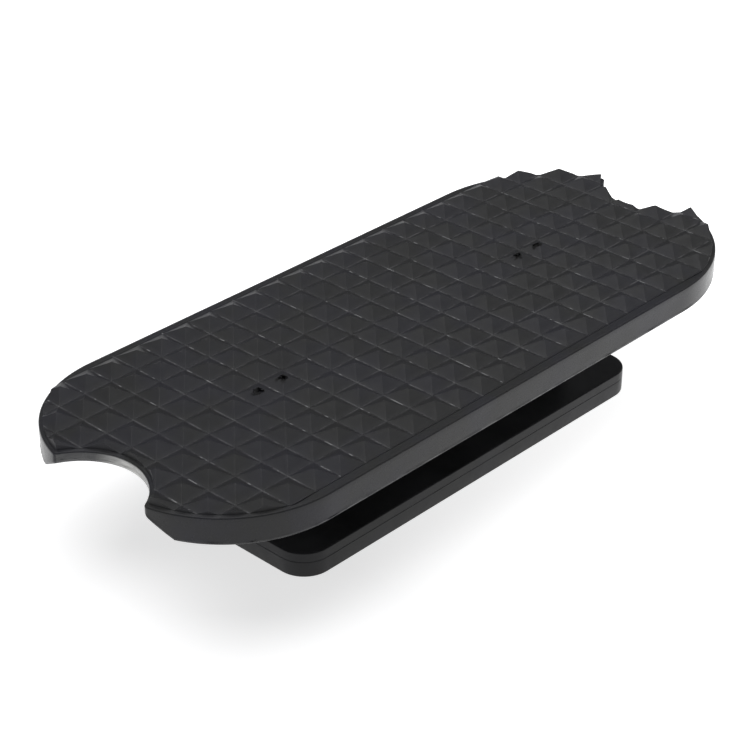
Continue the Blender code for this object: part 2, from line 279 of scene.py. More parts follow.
def outline_quarter(inset, arc_centre, notch_x, fineness):
    """A quarter of the pad's outline, from a notch's middle to the long side's middle."""
    notch_steps, tip_steps, end_steps, side_steps = (
        round(steps * fineness) for steps in (24, 8, 48, 60)
    )
    centre_x, centre_y = arc_centre
    end = PAD_HALF_WIDTH - centre_y - inset
    notch = NOTCH_RADIUS + inset
    tip = max(TIP_RADIUS - inset, 0.02 * MM)

    # The tip's circle touches the end's from inside and the notch's from outside.
    to_end = end - tip
    to_notch = notch + tip
    span = math.hypot(centre_x - notch_x, centre_y)
    along = ((centre_x - notch_x) / span, centre_y / span)
    reach = (to_notch ** 2 - to_end ** 2 + span ** 2) / (2 * span)
    aside = math.sqrt(to_notch ** 2 - reach ** 2)
    tip_x = notch_x + reach * along[0] + aside * along[1]
    tip_y = reach * along[1] - aside * along[0]

    into_notch = math.atan2(tip_y, tip_x - notch_x)
    into_end = math.atan2(tip_y - centre_y, tip_x - centre_x)
    quarter = arc((notch_x, 0.0), notch, math.pi, into_notch, notch_steps)
    quarter += arc((tip_x, tip_y), tip, into_notch - math.pi, into_end, tip_steps)[1:]
    quarter += arc((centre_x, centre_y), end, into_end, math.pi / 2, end_steps)[1:]
    quarter += between(quarter[-1], (0.0, PAD_HALF_WIDTH - inset), side_steps)
    return quarter


def pad_outline(inset, fineness=1.0):
    """Outline of the pad, moved inwards by inset.

    Every inset has the same number of points in the same order, so that two
    of them can be joined by quads.
    """
    right = outline_quarter(inset, RIGHT_END, RIGHT_NOTCH_X, fineness)
    left = outline_quarter(inset, LEFT_END, LEFT_NOTCH_X, fineness)
    upper_left = [(-x, y) for x, y in reversed(left[:-1])]
    lower_left = [(-x, -y) for x, y in left[1:]]
    lower_right = [(x, -y) for x, y in reversed(right[1:-1])]
    return right + upper_left + lower_left + lower_right


def underside(x, y):
    """Height of the pad's underside, which slopes up to a thin lip round each notch."""
    notch_x = RIGHT_NOTCH_X if x > 0 else -LEFT_NOTCH_X
    from_notch = math.hypot(x - notch_x, y) - NOTCH_RADIUS
    share = min(max(1 - from_notch / RELIEF_WIDTH, 0.0), 1.0)
    return PAD_BOTTOM + share * (PAD_THICKNESS - LIP_THICKNESS)


def pad_ring(inset, height, rough=0.0, size=1.5 * MM, seed=0.0):
    """One ring of the pad's side; height(x, y) gives its z, rough pushes it in and out."""
    outer = pad_outline(inset)
    inner = pad_outline(inset + 0.05 * MM)
    ring = []
    for (x, y), (in_x, in_y) in zip(outer, inner):
        z = height(x, y)
        push = rough * wobble(x, y, z, size, seed)
        length = math.hypot(x - in_x, y - in_y) or 1.0
        ring.append((x + (x - in_x) / length * push, y + (y - in_y) / length * push, z))
    return ring


def pad_slab():
    """The pad below its studs: rim, rounded edge, wall, moulding flash and underside."""
    def fillet(lift, on_side):
        """A ring's height beside the studs, either along the long sides or around the ends."""
        def height(x, y):
            along_side = abs(y) > STUDS_HALF_WIDTH - 0.15 * MM
            return RIM_TOP + (lift if along_side == on_side else 0.0)
        return height

    # From below the studs outwards over the plain rim.
    rings = [
        pad_ring(SIDE_RIM + 1.6 * MM, lambda x, y: RIM_TOP - 0.3 * MM),
        pad_ring(SIDE_RIM + 0.6 * MM, lambda x, y: RIM_TOP),
        pad_ring(SIDE_RIM + 0.1 * MM, fillet(0.08 * MM, True)),
        pad_ring(SIDE_RIM - 0.1 * MM, fillet(0.04 * MM, True)),
        pad_ring(SIDE_RIM - 0.3 * MM, lambda x, y: RIM_TOP),
        pad_ring(END_RIM + 0.08 * MM, fillet(0.07 * MM, False)),
        pad_ring(END_RIM - 0.06 * MM, fillet(0.01 * MM, False)),
        pad_ring(RIM_EDGE + 0.15 * MM, lambda x, y: RIM_TOP - RIM_CROWN / 2),
    ]
    for i in range(5):
        angle = math.radians(90 * i / 4)
        drop = RIM_CROWN + RIM_EDGE * (1 - math.cos(angle))
        rings.append(pad_ring(
            RIM_EDGE * (1 - math.sin(angle)), lambda x, y, drop=drop: RIM_TOP - drop,
            rough=0.015 * MM, size=2.5 * MM, seed=3.1,
        ))

    def wall(share):
        """Heights part of the way down the wall, from its rounded edge to the flash."""
        top = RIM_TOP - RIM_CROWN - RIM_EDGE
        return lambda x, y: top + (underside(x, y) + WALL_FOOT - top) * share

    for share in (0.2, 0.45, 0.7, 0.9):
        rings.append(pad_ring(0.0, wall(share), rough=0.03 * MM, size=5 * MM, seed=5.7))
    rings.append(pad_ring(
        0.0, wall(1.0), rough=0.04 * MM, size=1.2 * MM, seed=FLASH_SEED,
    ))

    def above_foot(lift):
        """Heights that follow the underside at a distance."""
        return lambda x, y: underside(x, y) + lift

    # The ragged flash where the mould's halves met.
    for inset, lift, rough, size in (
        (-0.02, 0.40, 0.09, 0.9), (-0.01, 0.33, 0.09, 0.9), (0.04, 0.27, 0.04, 1.2),
    ):
        rings.append(pad_ring(
            inset * MM, above_foot(lift * MM), rough=rough * MM, size=size * MM, seed=FLASH_SEED,
        ))
    for i in range(4):
        angle = math.radians(90 * i / 3)
        inset = 0.05 * MM + FOOT_EDGE * (1 - math.cos(angle))
        rings.append(pad_ring(inset, above_foot(FOOT_EDGE * (1 - math.sin(angle)))))
    # Inwards under the pad, closely enough for the hollows around the notches.
    for inset in (0.6, 1.0, 1.5, 2.0, 2.5, 3.0, 3.5, 4.0, 4.4, 4.8, 5.5):
        rings.append(pad_ring(inset * MM, underside))
    bm = bmesh.new()
    loft(bm, rings, close_first=True, close_last=True)
    return new_object("tread_pad_rubber", bm)


def stud_contour(centre, half, share, corner_round, height):
    """One level line of a stud: a rectangle with rounded corners, guard points beside them.

    half holds half the stud's sides, and share scales them down to this line.
    """
    half_x = half[0] * share
    half_y = half[1] * share
    radius = min(corner_round, 0.7 * min(half_x, half_y))
    guard = min(RIDGE_GUARD, 0.85 * min(half_x, half_y))
    points = []
    for i, (sign_x, sign_y) in enumerate(((1, 1), (-1, 1), (-1, -1), (1, -1))):
        start = i * math.pi / 2
        edge_x = centre[0] + sign_x * half_x
        edge_y = centre[1] + sign_y * half_y
        corner = (
            centre[0] + sign_x * (half_x - radius),
            centre[1] + sign_y * (half_y - radius),
        )
        curve = arc(corner, radius, start, start + math.pi / 2, 3)
        side_x = (edge_x, centre[1] + sign_y * (half_y - guard))
        side_y = (centre[0] + sign_x * (half_x - guard), edge_y)
        if i % 2 == 0:
            points += [side_x] + curve + [side_y, (centre[0], edge_y)]
        else:
            points += [side_y] + curve + [side_x, (edge_x, centre[1])]
    return [(x, y, height) for x, y in points]


def add_stud(bm, centre, half, draw):
    """One pyramid with soft ridges, a blunt tip and a fillet along its foot."""
    tall = STUD_HEIGHT * draw.uniform(*TALLNESS)
    corner_round = RIDGE_ROUND * draw.uniform(*RIDGE_SPREAD)
    lean = (draw.uniform(-1, 1) * TIP_LEAN, draw.uniform(-1, 1) * TIP_LEAN)
    flat = GROOVE_HALF / half[0]
    fillet = FOOT_FILLET
    blunt = draw.uniform(*BLUNTNESS)
    slope = 1 / (1 - flat - fillet / 2 - blunt / 2)

    def rise(depth):
        """Share of the stud's height at a share of the way from its edge to its tip."""
        if depth <= flat:
            return 0.0
        if depth < flat + fillet:
            return slope * (depth - flat) ** 2 / (2 * fillet)
        straight = slope * (depth - flat - fillet / 2)
        if depth <= 1 - blunt:
            return straight
        return 1 - slope * (1 - depth) ** 2 / (2 * blunt)

    foot = [0.0, flat, flat + fillet / 2, flat + fillet]
    previous = None
    for depth in foot + [0.2, 0.45, 0.7, 1 - blunt, 1 - blunt / 2]:
        share = rise(depth)
        place = (centre[0] + lean[0] * share, centre[1] + lean[1] * share)
        round_here = corner_round * min(1.0, depth / (flat + fillet))
        contour = stud_contour(place, half, 1 - depth, round_here, VALLEY + tall * share)
        ring = [bm.verts.new(point) for point in contour]
        if previous:
            for i in range(len(ring)):
                j = (i + 1) % len(ring)
                bm.faces.new((previous[i], previous[j], ring[j], ring[i]))
        previous = ring
    tip = bm.verts.new((centre[0] + lean[0], centre[1] + lean[1], VALLEY + tall))
    for i in range(len(previous)):
        bm.faces.new((previous[i], previous[(i + 1) % len(previous)], tip))


def stud_block():
    """Rows of studs over more than the whole pad, on a block that reaches into the slab."""
    draw = random.Random(STUD_SEED)
    columns = 2 * math.ceil((RIGHT_END[0] + PAD_HALF_WIDTH) / STUD_LENGTH)
    rows = STUD_ROWS + 2
    left = GRID_SHIFT - columns / 2 * STUD_LENGTH
    front = -rows / 2 * STUD_WIDTH
    half = (STUD_LENGTH / 2, STUD_WIDTH / 2)
    bm = bmesh.new()
    for i in range(columns):
        for j in range(rows):
            centre = (left + (i + 0.5) * STUD_LENGTH, front + (j + 0.5) * STUD_WIDTH)
            add_stud(bm, centre, half, draw)
    bmesh.ops.remove_doubles(bm, verts=bm.verts, dist=0.001 * MM)
    border = [edge for edge in bm.edges if edge.is_boundary]
    walls = bmesh.ops.extrude_edge_only(bm, edges=border)["geom"]
    for item in walls:
        if isinstance(item, bmesh.types.BMVert):
            item.co.z = RIM_TOP - BLOCK_DEPTH
    bottom = [edge for edge in bm.edges if edge.is_boundary]
    bmesh.ops.contextual_create(bm, geom=bottom)
    return new_object("stud_block", bm)


def prism(name, outline, low, high):
    """A straight-sided solid over a closed outline, used as a cutter."""
    bm = bmesh.new()
    rings = [[(x, y, low) for x, y in outline], [(x, y, high) for x, y in outline]]
    loft(bm, rings, close_first=True, close_last=True)
    return new_object(name, bm)


def pin_nicks():
    """Torn stud tips, each a ragged lump cut out of the rubber."""
    draw = random.Random(TEAR_SEED)
    bm = bmesh.new()
    for number, (x, y) in enumerate(PIN_MARKS):
        made = bmesh.ops.create_icosphere(bm, subdivisions=3, radius=TEAR_RADIUS)["verts"]
        place = Vector((x * MM, y * MM, STUD_TOP - PIN_DEPTH))
        stretch = Vector((draw.uniform(1.1, 1.5), draw.uniform(1.0, 1.5), draw.uniform(0.7, 0.9)))
        for vert in made:
            ragged = 1 + 0.8 * wobble(*vert.co, 0.3 * MM, seed=1.3 + number)
            vert.co = Vector([a * b * ragged for a, b in zip(vert.co, stretch)]) + place
    return new_object("pin_nicks", bm)


def fastener_cutter(name, profile):
    """A cutter with the same turned hole at both screws."""
    bm = bmesh.new()
    for side in (-1, 1):
        turned(bm, profile, 48, (side * SCREW_X, 0.0))
    return new_object(name, bm)


def stud_area():
    """Outline of the studs: straight along both sides, round at the ends and notches."""
    # The small shift and the other fineness keep its corners off the slab's own edges.
    aside = 0.011 * MM
    limit = STUDS_HALF_WIDTH
    around = pad_outline(END_RIM, fineness=0.77)
    clamped = [(x + aside, min(max(y + aside, -limit), limit)) for x, y in around]
    outline = []
    for i, (x, y) in enumerate(clamped):
        levels = (clamped[i - 1][1], y, clamped[(i + 1) % len(clamped)][1])
        if max(levels) > min(levels):
            outline.append((x, y))
    return outline


def build_pad():
    """The moulded rubber foot pad with its studs, core cavity and insert holes."""
    pad = pad_slab()
    studs = stud_block()
    area = prism("stud_area", stud_area(), PAD_BOTTOM, STUD_TOP + OVERSHOOT)
    carve(studs, area, "INTERSECT")
    carve(pad, studs, "UNION")
    cavity = rounded_rectangle(
        core_high.x + CLEARANCE, core_high.y + CLEARANCE, CORE_CORNER + CLEARANCE, 8, 2,
    )
    low, high = core_low.z - CLEARANCE, insert_high.z + CLEARANCE
    carve(pad, prism("core_cavity", cavity, low, high), "DIFFERENCE")
    bore = INSERT_RADIUS + CLEARANCE
    profile = [
        (0.0, PAD_BOTTOM - OVERSHOOT), (bore, PAD_BOTTOM - OVERSHOOT),
        (bore, core_low.z), (0.0, core_low.z),
    ]
    carve(pad, fastener_cutter("insert_holes", profile), "DIFFERENCE")
    carve(pad, pin_nicks(), "DIFFERENCE", smooth_angle=TORN_ANGLE)
    return pad


# ------------------------------------------------- plate, neck and steel core

def soft_block(name, half_x, half_y, corner, low, high, top_edge, bottom_edge, seam=None):
    """A block with round corners and rounded rims.

    seam is the height of the fine groove where a mould's halves met, if it has one.
    """
    def ring(inset, z, rough=0.0, seed=0.0):
        points = []
        radius = max(corner - inset, 0.05 * MM)
        for x, y in rounded_rectangle(half_x - inset, half_y - inset, radius):
            push = 1 + rough * wobble(x, y, z, 2.0 * MM, seed) / half_y
            points.append((x * push, y * push, z))
        return points

    rings = [ring(3 * top_edge, high)]
    for i in range(6):
        angle = math.radians(90 * i / 5)
        drop = top_edge * (1 - math.cos(angle))
        rings.append(ring(top_edge * (1 - math.sin(angle)), high - drop))
    if seam is not None:
        for inset, halves, rough in (
            (0.0, 3, 0.02 * MM), (-0.01 * MM, 1, 0.03 * MM), (SEAM_DEPTH, 0, 0.03 * MM),
            (0.0, -1, 0.03 * MM), (0.0, -3, 0.02 * MM),
        ):
            rings.append(ring(inset, seam + halves * SEAM_HALF, rough, 4.4))
    # One more ring on the wall, below the seam where there is one.
    middle = (low + high) / 2
    level = middle if seam is None or seam > middle else low + 2 * bottom_edge
    rings.append(ring(0.0, level, 0.02 * MM, 7.7))
    for i in range(6):
        angle = math.radians(90 * i / 5)
        lift = bottom_edge * (1 - math.sin(angle))
        rings.append(ring(bottom_edge * (1 - math.cos(angle)), low + lift))
    rings.append(ring(3 * bottom_edge, low))
    bm = bmesh.new()
    loft(bm, rings, close_first=True, close_last=True)
    return new_object(name, bm)


def build_plate():
    """The rubber retaining plate with two countersunk holes."""
    plate = soft_block(
        "retaining_plate_rubber", plate_high.x, plate_high.y, PLATE_CORNER,
        plate_low.z, plate_high.z,
        top_edge=0.2 * MM, bottom_edge=0.2 * MM, seam=plate_high.z - 1.5 * MM,
    )
    # The seat is a 45 degree cone outside the washer, its lower rim rolled outwards.
    seat = cone_sum(2 * CLEARANCE + WASHER_THICKNESS)
    lip = 0.25 * MM
    mouth = seat + lip
    below, above = plate_low.z - OVERSHOOT, plate_high.z + OVERSHOOT
    profile = [(0.0, below), (mouth, below), (mouth, plate_low.z)]
    for i in range(1, 5):
        angle = math.radians(45 * i / 4)
        inwards = 2 * lip * math.sin(angle) * 0.6
        profile.append((mouth - inwards, plate_low.z + lip * (1 - math.cos(angle))))
    cone_radius, cone_height = profile[-1]
    bore = SHANK_RADIUS + 2 * CLEARANCE
    rim = bore + 0.15 * MM
    profile += [
        (bore, cone_height + cone_radius - bore), (bore, plate_high.z - 0.1 * MM),
        (rim, plate_high.z + 0.05 * MM), (rim, above), (0.0, above),
    ]
    carve(plate, fastener_cutter("countersinks", profile), "DIFFERENCE")
    return plate


def build_neck():
    """The rubber block in the footplate's slot, bored for inserts and screws."""
    neck = soft_block(
        "neck_block_rubber", neck_high.x, neck_high.y, NECK_CORNER, neck_low.z, neck_high.z,
        top_edge=0.5 * MM, bottom_edge=0.5 * MM, seam=(neck_low.z + neck_high.z) / 2,
    )
    wide = INSERT_RADIUS + CLEARANCE
    narrow = SHANK_RADIUS + CLEARANCE
    foot = insert_low.z - CLEARANCE
    profile = [
        (0.0, neck_low.z - OVERSHOOT), (narrow, neck_low.z - OVERSHOOT), (narrow, foot),
        (wide, foot), (wide, neck_high.z + OVERSHOOT), (0.0, neck_high.z + OVERSHOOT),
    ]
    carve(neck, fastener_cutter("neck_bores", profile), "DIFFERENCE")
    return neck


def build_core():
    """The steel stiffener inside the pad, with blanked edges and counterbored holes."""
    core = soft_block(
        "pad_core_steel", core_high.x, core_high.y, CORE_CORNER, core_low.z, core_high.z,
        top_edge=0.12 * MM, bottom_edge=0.2 * MM,
    )
    bore = INSERT_RADIUS + CLEARANCE
    seat = FLANGE_RADIUS + CLEARANCE
    ledge = insert_high.z - FLANGE_THICKNESS - CLEARANCE
    profile = [
        (0.0, core_low.z - OVERSHOOT), (bore, core_low.z - OVERSHOOT), (bore, ledge),
        (seat, ledge), (seat, core_high.z + OVERSHOOT), (0.0, core_high.z + OVERSHOOT),
    ]
    carve(core, fastener_cutter("core_bores", profile), "DIFFERENCE")
    return core


# ------------------------------------------------------------------ fasteners

def cone_sum(gap_layers):
    """Radius plus height along a 45 degree cone outside the screw's head.

    gap_layers is the distance from the head's cone, square to its surface.
    """
    return HEAD_RADIUS + HEAD_FACE + HEAD_LAND + gap_layers * math.sqrt(2)


def cup_washer():
    """Conical washer with rolled edges, on the origin's axis."""
    inner = cone_sum(CLEARANCE)
    outer = cone_sum(CLEARANCE + WASHER_THICKNESS)
    low, high = washer_low.z, washer_high.z
    profile = [
        (inner - low, low), (outer - low, low), (outer - high, high), (inner - high, high),
    ]
    bm = bmesh.new()
    turned(bm, soften(profile, 0.12 * MM))
    return new_object("cup_washer_detail", bm)


def triangle_wave(phase):
    """A wave from 0 up to 1 and back for each whole turn of its phase."""
    return 1 - abs(2 * (phase % 1.0) - 1)


def clamp_screw():
    """Countersunk screw with a rolled thread, its head down, on the origin's axis."""
    land_top = HEAD_FACE + HEAD_LAND
    neck_height = land_top + HEAD_RADIUS - SHANK_RADIUS
    end = screw_high.z
    steps = 48
    bm = bmesh.new()
    rings = []

    def plain(radius, height):
        rings.append(level_circle(radius, height, steps))

    plain(HEAD_RADIUS - 0.10 * MM, HEAD_FACE)
    plain(HEAD_RADIUS - 0.03 * MM, HEAD_FACE + 0.03 * MM)
    plain(HEAD_RADIUS, HEAD_FACE + 0.10 * MM)
    plain(HEAD_RADIUS, land_top - 0.05 * MM)
    plain(HEAD_RADIUS - 0.05 * MM, land_top + 0.03 * MM)
    plain(SHANK_RADIUS + 0.25 * MM, neck_height - 0.25 * MM)
    plain(SHANK_RADIUS, neck_height + 0.10 * MM)
    thread_start = neck_height + 1.2 * MM
    plain(SHANK_RADIUS, thread_start - 0.3 * MM)
    levels = int((end - 0.5 * MM - thread_start) / (THREAD_PITCH / THREAD_LEVELS))
    for level in range(levels + 1):
        height = thread_start + level * THREAD_PITCH / THREAD_LEVELS
        fade = min(1.0, level / THREAD_LEVELS)
        taper = min(1.0, (end - height) / (0.8 * MM))
        ring = []
        for i in range(steps):
            turn = i / steps
            groove = 1 - min(1.0, 1.3 * triangle_wave(height / THREAD_PITCH - turn))
            radius = (SHANK_RADIUS - THREAD_DEPTH * fade * groove) * (0.75 + 0.25 * taper)
            angle = 2 * math.pi * turn
            ring.append((radius * math.cos(angle), radius * math.sin(angle), height))
        rings.append(ring)
    plain(SHANK_RADIUS * 0.66, end - 0.08 * MM)
    plain(SHANK_RADIUS * 0.60, end)
    loft(bm, rings, close_first=True, close_last=True)
    screw = new_object("clamp_screw_detail", bm)

    bm = bmesh.new()
    corner = SOCKET_ACROSS_FLATS / math.sqrt(3)
    loft(bm, [
        level_circle(corner * 1.5, HEAD_FACE - 0.4 * MM, 6),
        level_circle(corner, HEAD_FACE + 0.12 * MM, 6),
        level_circle(corner, HEAD_FACE + SOCKET_DEPTH, 6),
        level_circle(corner * 0.12, HEAD_FACE + SOCKET_DEPTH + 0.35 * MM, 6),
    ], close_first=True, close_last=True)
    carve(screw, new_object("hex_socket", bm), "DIFFERENCE")
    return screw


def threaded_insert():
    """Flanged brass bush with a knurled barrel, on the origin's axis."""
    bore = SHANK_RADIUS + CLEARANCE
    flange_bottom = insert_high.z - FLANGE_THICKNESS
    steps = 96
    bm = bmesh.new()
    rings = []

    def plain(radius, height):
        rings.append(level_circle(radius, height, steps))

    barrel = INSERT_RADIUS - KNURL_DEPTH
    plain(bore + 0.15 * MM, insert_low.z)
    plain(INSERT_RADIUS - 0.35 * MM, insert_low.z)
    plain(barrel, insert_low.z + 0.3 * MM)
    knurl_low = insert_low.z + 0.8 * MM
    knurl_high = flange_bottom - 1.2 * MM
    plain(barrel, knurl_low - 0.2 * MM)
    levels = 36
    for level in range(levels + 1):
        height = knurl_low + (knurl_high - knurl_low) * level / levels
        ring = []
        for i in range(steps):
            turn = i / steps
            along = (height - knurl_low) / (2.2 * MM)
            left = triangle_wave(KNURL_RIDGES * turn + along * 3)
            right = triangle_wave(KNURL_RIDGES * turn - along * 3)
            radius = INSERT_RADIUS - KNURL_DEPTH * (1 - min(left, right))
            angle = 2 * math.pi * turn
            ring.append((radius * math.cos(angle), radius * math.sin(angle), height))
        rings.append(ring)
    plain(barrel, knurl_high + 0.15 * MM)
    plain(barrel, flange_bottom)
    plain(FLANGE_RADIUS - 0.06 * MM, flange_bottom)
    plain(FLANGE_RADIUS, flange_bottom + 0.06 * MM)
    plain(FLANGE_RADIUS, insert_high.z - 0.06 * MM)
    plain(FLANGE_RADIUS - 0.06 * MM, insert_high.z)
    plain(bore + 0.2 * MM, insert_high.z)
    plain(bore, insert_high.z - 0.2 * MM)
    plain(bore, insert_low.z + 0.15 * MM)
    made = loft(bm, rings)
    first, last = made[0], made[-1]
    for i in range(steps):
        j = (i + 1) % steps
        bm.faces.new((last[i], last[j], first[j], first[i]))
    return new_object("threaded_insert_detail", bm)


def place_pair(piece, base, material):
    """Put one piece at the left screw and a copy of it at the right one."""
    copy = piece.copy()
    bpy.context.scene.collection.objects.link(copy)
    piece.data.materials.clear()
    piece.data.materials.append(material)
    for made, side, label in ((piece, -1, "left"), (copy, 1, "right")):
        made.name = f"{base}_detail_{label}"
        made.location.x = side * SCREW_X
        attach(made, "root")
        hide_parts(f"{base}_{label}")


# ------------------------------------------------------------------ materials

# Tones laid over the rubber's own, all of them painted light or shade.
# painted light on the faces that point up
TOP_LIGHT_TONE = (0.150, 0.150, 0.152)
# painted fill light at the foot of each stud
FOOT_FILL_LIGHT_TONE = (0.110, 0.110, 0.112)
# painted highlight along the grooves
LINE_HIGHLIGHT_TONE = (0.078, 0.078, 0.081)
# painted glints in the grooves
GLINT_TONE = (0.22, 0.22, 0.225)
# painted shade in the pits of the stud tips that tore
TORN_TIP_SHADE_TONE = (0.005, 0.005, 0.005)
# painted highlight on the notches' inner faces
NOTCH_HIGHLIGHT_TONE = (0.62, 0.62, 0.60)


def set_range(node, low, high, to_low, to_high):
    """Fill in the numbers of a Map Range node."""
    names = ("From Min", "From Max", "To Min", "To Max")
    for name, number in zip(names, (low, high, to_low, to_high)):
        node.inputs[name].default_value = number


class Nodes:
    """Short ways to add nodes to a material."""

    def __init__(self, name):
        self.material = bpy.data.materials.new(name)
        self.material.use_nodes = True
        self.tree = self.material.node_tree
        self.shader = self.tree.nodes["Principled BSDF"]
        self.place = self.add("ShaderNodeTexCoord").outputs["Object"]

    def add(self, kind, **settings):
        node = self.tree.nodes.new(kind)
        for key, value in settings.items():
            setattr(node, key, value)
        return node

    def link(self, source, target):
        self.tree.links.new(source, target)

    def math(self, operation, first, second=0.0):
        """A calculation with one or two values, each a number or a socket."""
        node = self.add("ShaderNodeMath", operation=operation)
        for socket, value in zip(node.inputs, (first, second)):
            if isinstance(value, (int, float)):
                socket.default_value = value
            else:
                self.link(value, socket)
        return node.outputs[0]

    def noise(self, size, detail=2.0, roughness=0.5, stretch=None):
        """Noise from 0 to 1 whose lumps are about size across."""
        node = self.add("ShaderNodeTexNoise")
        node.inputs["Scale"].default_value = 1.0 / size
        node.inputs["Detail"].default_value = detail
        node.inputs["Roughness"].default_value = roughness
        place = self.place
        if stretch:
            mapping = self.add("ShaderNodeMapping")
            mapping.inputs["Scale"].default_value = stretch
            self.link(place, mapping.inputs["Vector"])
            place = mapping.outputs["Vector"]
        self.link(place, node.inputs["Vector"])
        return node.outputs[0]

    def spread(self, value, low, high, to_low=0.0, to_high=1.0):
        """Stretch the range low to high over to_low to to_high, clamped."""
        node = self.add("ShaderNodeMapRange")
        self.link(value, node.inputs["Value"])
        set_range(node, low, high, to_low, to_high)
        return node.outputs[0]

    def blend(self, share, first, second):
        """Mix two colours; each is a colour or a socket."""
        node = self.add("ShaderNodeMix", data_type="RGBA")
        self.link(share, node.inputs["Factor"])
        for socket, value in ((node.inputs[6], first), (node.inputs[7], second)):
            if isinstance(value, tuple):
                socket.default_value = (*value, 1.0)
            else:
                self.link(value, socket)
        return node.outputs[2]

    def bump(self, height, strength, distance):
        node = self.add("ShaderNodeBump")
        node.inputs["Strength"].default_value = strength
        node.inputs["Distance"].default_value = distance
        self.link(height, node.inputs["Height"])
        return node.outputs[0]

    def split(self, vector):
        """The three parts of a vector."""
        node = self.add("ShaderNodeSeparateXYZ")
        self.link(vector, node.inputs[0])
        return node.outputs

    def nearest(self, place, points):
        """Distance from a place to the nearest of some fixed points."""
        least = None
        for point in points:
            gap = self.add("ShaderNodeVectorMath", operation="DISTANCE")
            gap.inputs[1].default_value = point
            self.link(place, gap.inputs[0])
            far = gap.outputs["Value"]
            least = self.math("MINIMUM", least, far) if least else far
        return least


def groove_masks(nodes):
    """Masks for the painted highlight along the grooves between studs, the painted fill light at
    the foot of each stud, and the painted glints in each groove's middle.
    """
    x, y, z = nodes.split(nodes.place)
    on_top = nodes.spread(z, VALLEY - 0.05 * MM, VALLEY - 0.02 * MM)

    def groove(coordinate, start, pitch, near, far):
        """1 along the grooves where two studs meet, fading out between two distances."""
        cells = nodes.math("DIVIDE", nodes.math("SUBTRACT", coordinate, start), pitch)
        off_middle = nodes.math("SUBTRACT", nodes.math("FRACT", cells), 0.5)
        to_line = nodes.math("SUBTRACT", 0.5, nodes.math("ABSOLUTE", off_middle))
        close = nodes.spread(nodes.math("MULTIPLY", to_line, pitch), near, far, 1.0, 0.0)
        return nodes.math("MULTIPLY", close, on_top)

    # The painted highlight along the long grooves ends at the outer rows, and is brighter towards
    # the right.
    outer = (STUD_ROWS / 2 - 0.1) * STUD_WIDTH
    inner = nodes.math("LESS_THAN", nodes.math("ABSOLUTE", y), outer)
    brighter_right = nodes.spread(x, -45 * MM, 25 * MM, 0.25, 0.9)
    across = groove(x, GRID_SHIFT, STUD_LENGTH, 0.07 * MM, 0.17 * MM)
    along = groove(y, STUD_WIDTH / 2, STUD_WIDTH, 0.07 * MM, 0.17 * MM)
    along = nodes.math("MULTIPLY", nodes.math("MULTIPLY", along, inner), brighter_right)
    groove_highlights = nodes.math("MAXIMUM", across, along)
    # A wider, weaker mask for painted fill light that lightens the shade at the foot of each
    # stud.
    fill_light_x = groove(x, GRID_SHIFT, STUD_LENGTH, 0.15 * MM, 0.8 * MM)
    fill_light_y = groove(y, STUD_WIDTH / 2, STUD_WIDTH, 0.15 * MM, 0.8 * MM)
    fill_light_feet = nodes.math("MULTIPLY", nodes.math("MAXIMUM", fill_light_x, fill_light_y), inner)
    # The grooves' middles, where glints are painted.
    middles = groove(x, GRID_SHIFT, STUD_LENGTH, 0.03 * MM, 0.12 * MM)
    return groove_highlights, fill_light_feet, middles


def torn_tip_shade_mask(nodes, ragged):
    """1 inside the stud tips that tore, with a ragged border; shade is painted there."""
    tips = [(x * MM, y * MM, STUD_TOP - PIN_DEPTH) for x, y in PIN_MARKS]
    shift = nodes.spread(ragged, 0.35, 0.65, -0.35 * MM, 0.35 * MM)
    reach = nodes.math("ADD", nodes.nearest(nodes.place, tips), shift)
    return nodes.spread(reach, 0.55 * MM, 0.95 * MM, 1.0, 0.0)


def notch_highlight_mask(nodes):
    """1 on the notches' inner faces where a highlight is painted, streaked along the face."""
    x, y, z = nodes.split(nodes.place)
    level = nodes.add("ShaderNodeCombineXYZ")
    nodes.link(x, level.inputs[0])
    nodes.link(y, level.inputs[1])
    axes = ((-LEFT_NOTCH_X, 0.0, 0.0), (RIGHT_NOTCH_X, 0.0, 0.0))
    from_axis = nodes.nearest(level.outputs[0], axes)
    face = NOTCH_RADIUS + 0.08 * MM
    on_face = nodes.spread(from_axis, face, face + 0.08 * MM, 1.0, 0.0)
    below_rim = nodes.spread(z, RIM_TOP - 0.35 * MM, RIM_TOP - 0.15 * MM, 1.0, 0.0)

    # The painted highlight is strongest in the notch's middle, and none on the tips' round
    # corners.
    aside = nodes.math("ABSOLUTE", y)
    highlight_share = nodes.spread(aside, 1.5 * MM, 5.5 * MM, 1.0, 0.13)
    off_tips = nodes.spread(aside, 9.0 * MM, 9.7 * MM, 1.0, 0.0)
    highlight_share = nodes.math("MULTIPLY", highlight_share, off_tips)
    notch_highlight = nodes.math("MULTIPLY", nodes.math("MULTIPLY", on_face, below_rim), highlight_share)
    lumps = nodes.noise(1.8 * MM, 3.0, 0.6, stretch=(1.0, 1.0, 9.0))
    return nodes.math("MULTIPLY", notch_highlight, nodes.spread(lumps, 0.3, 0.7, 0.55, 1.0))


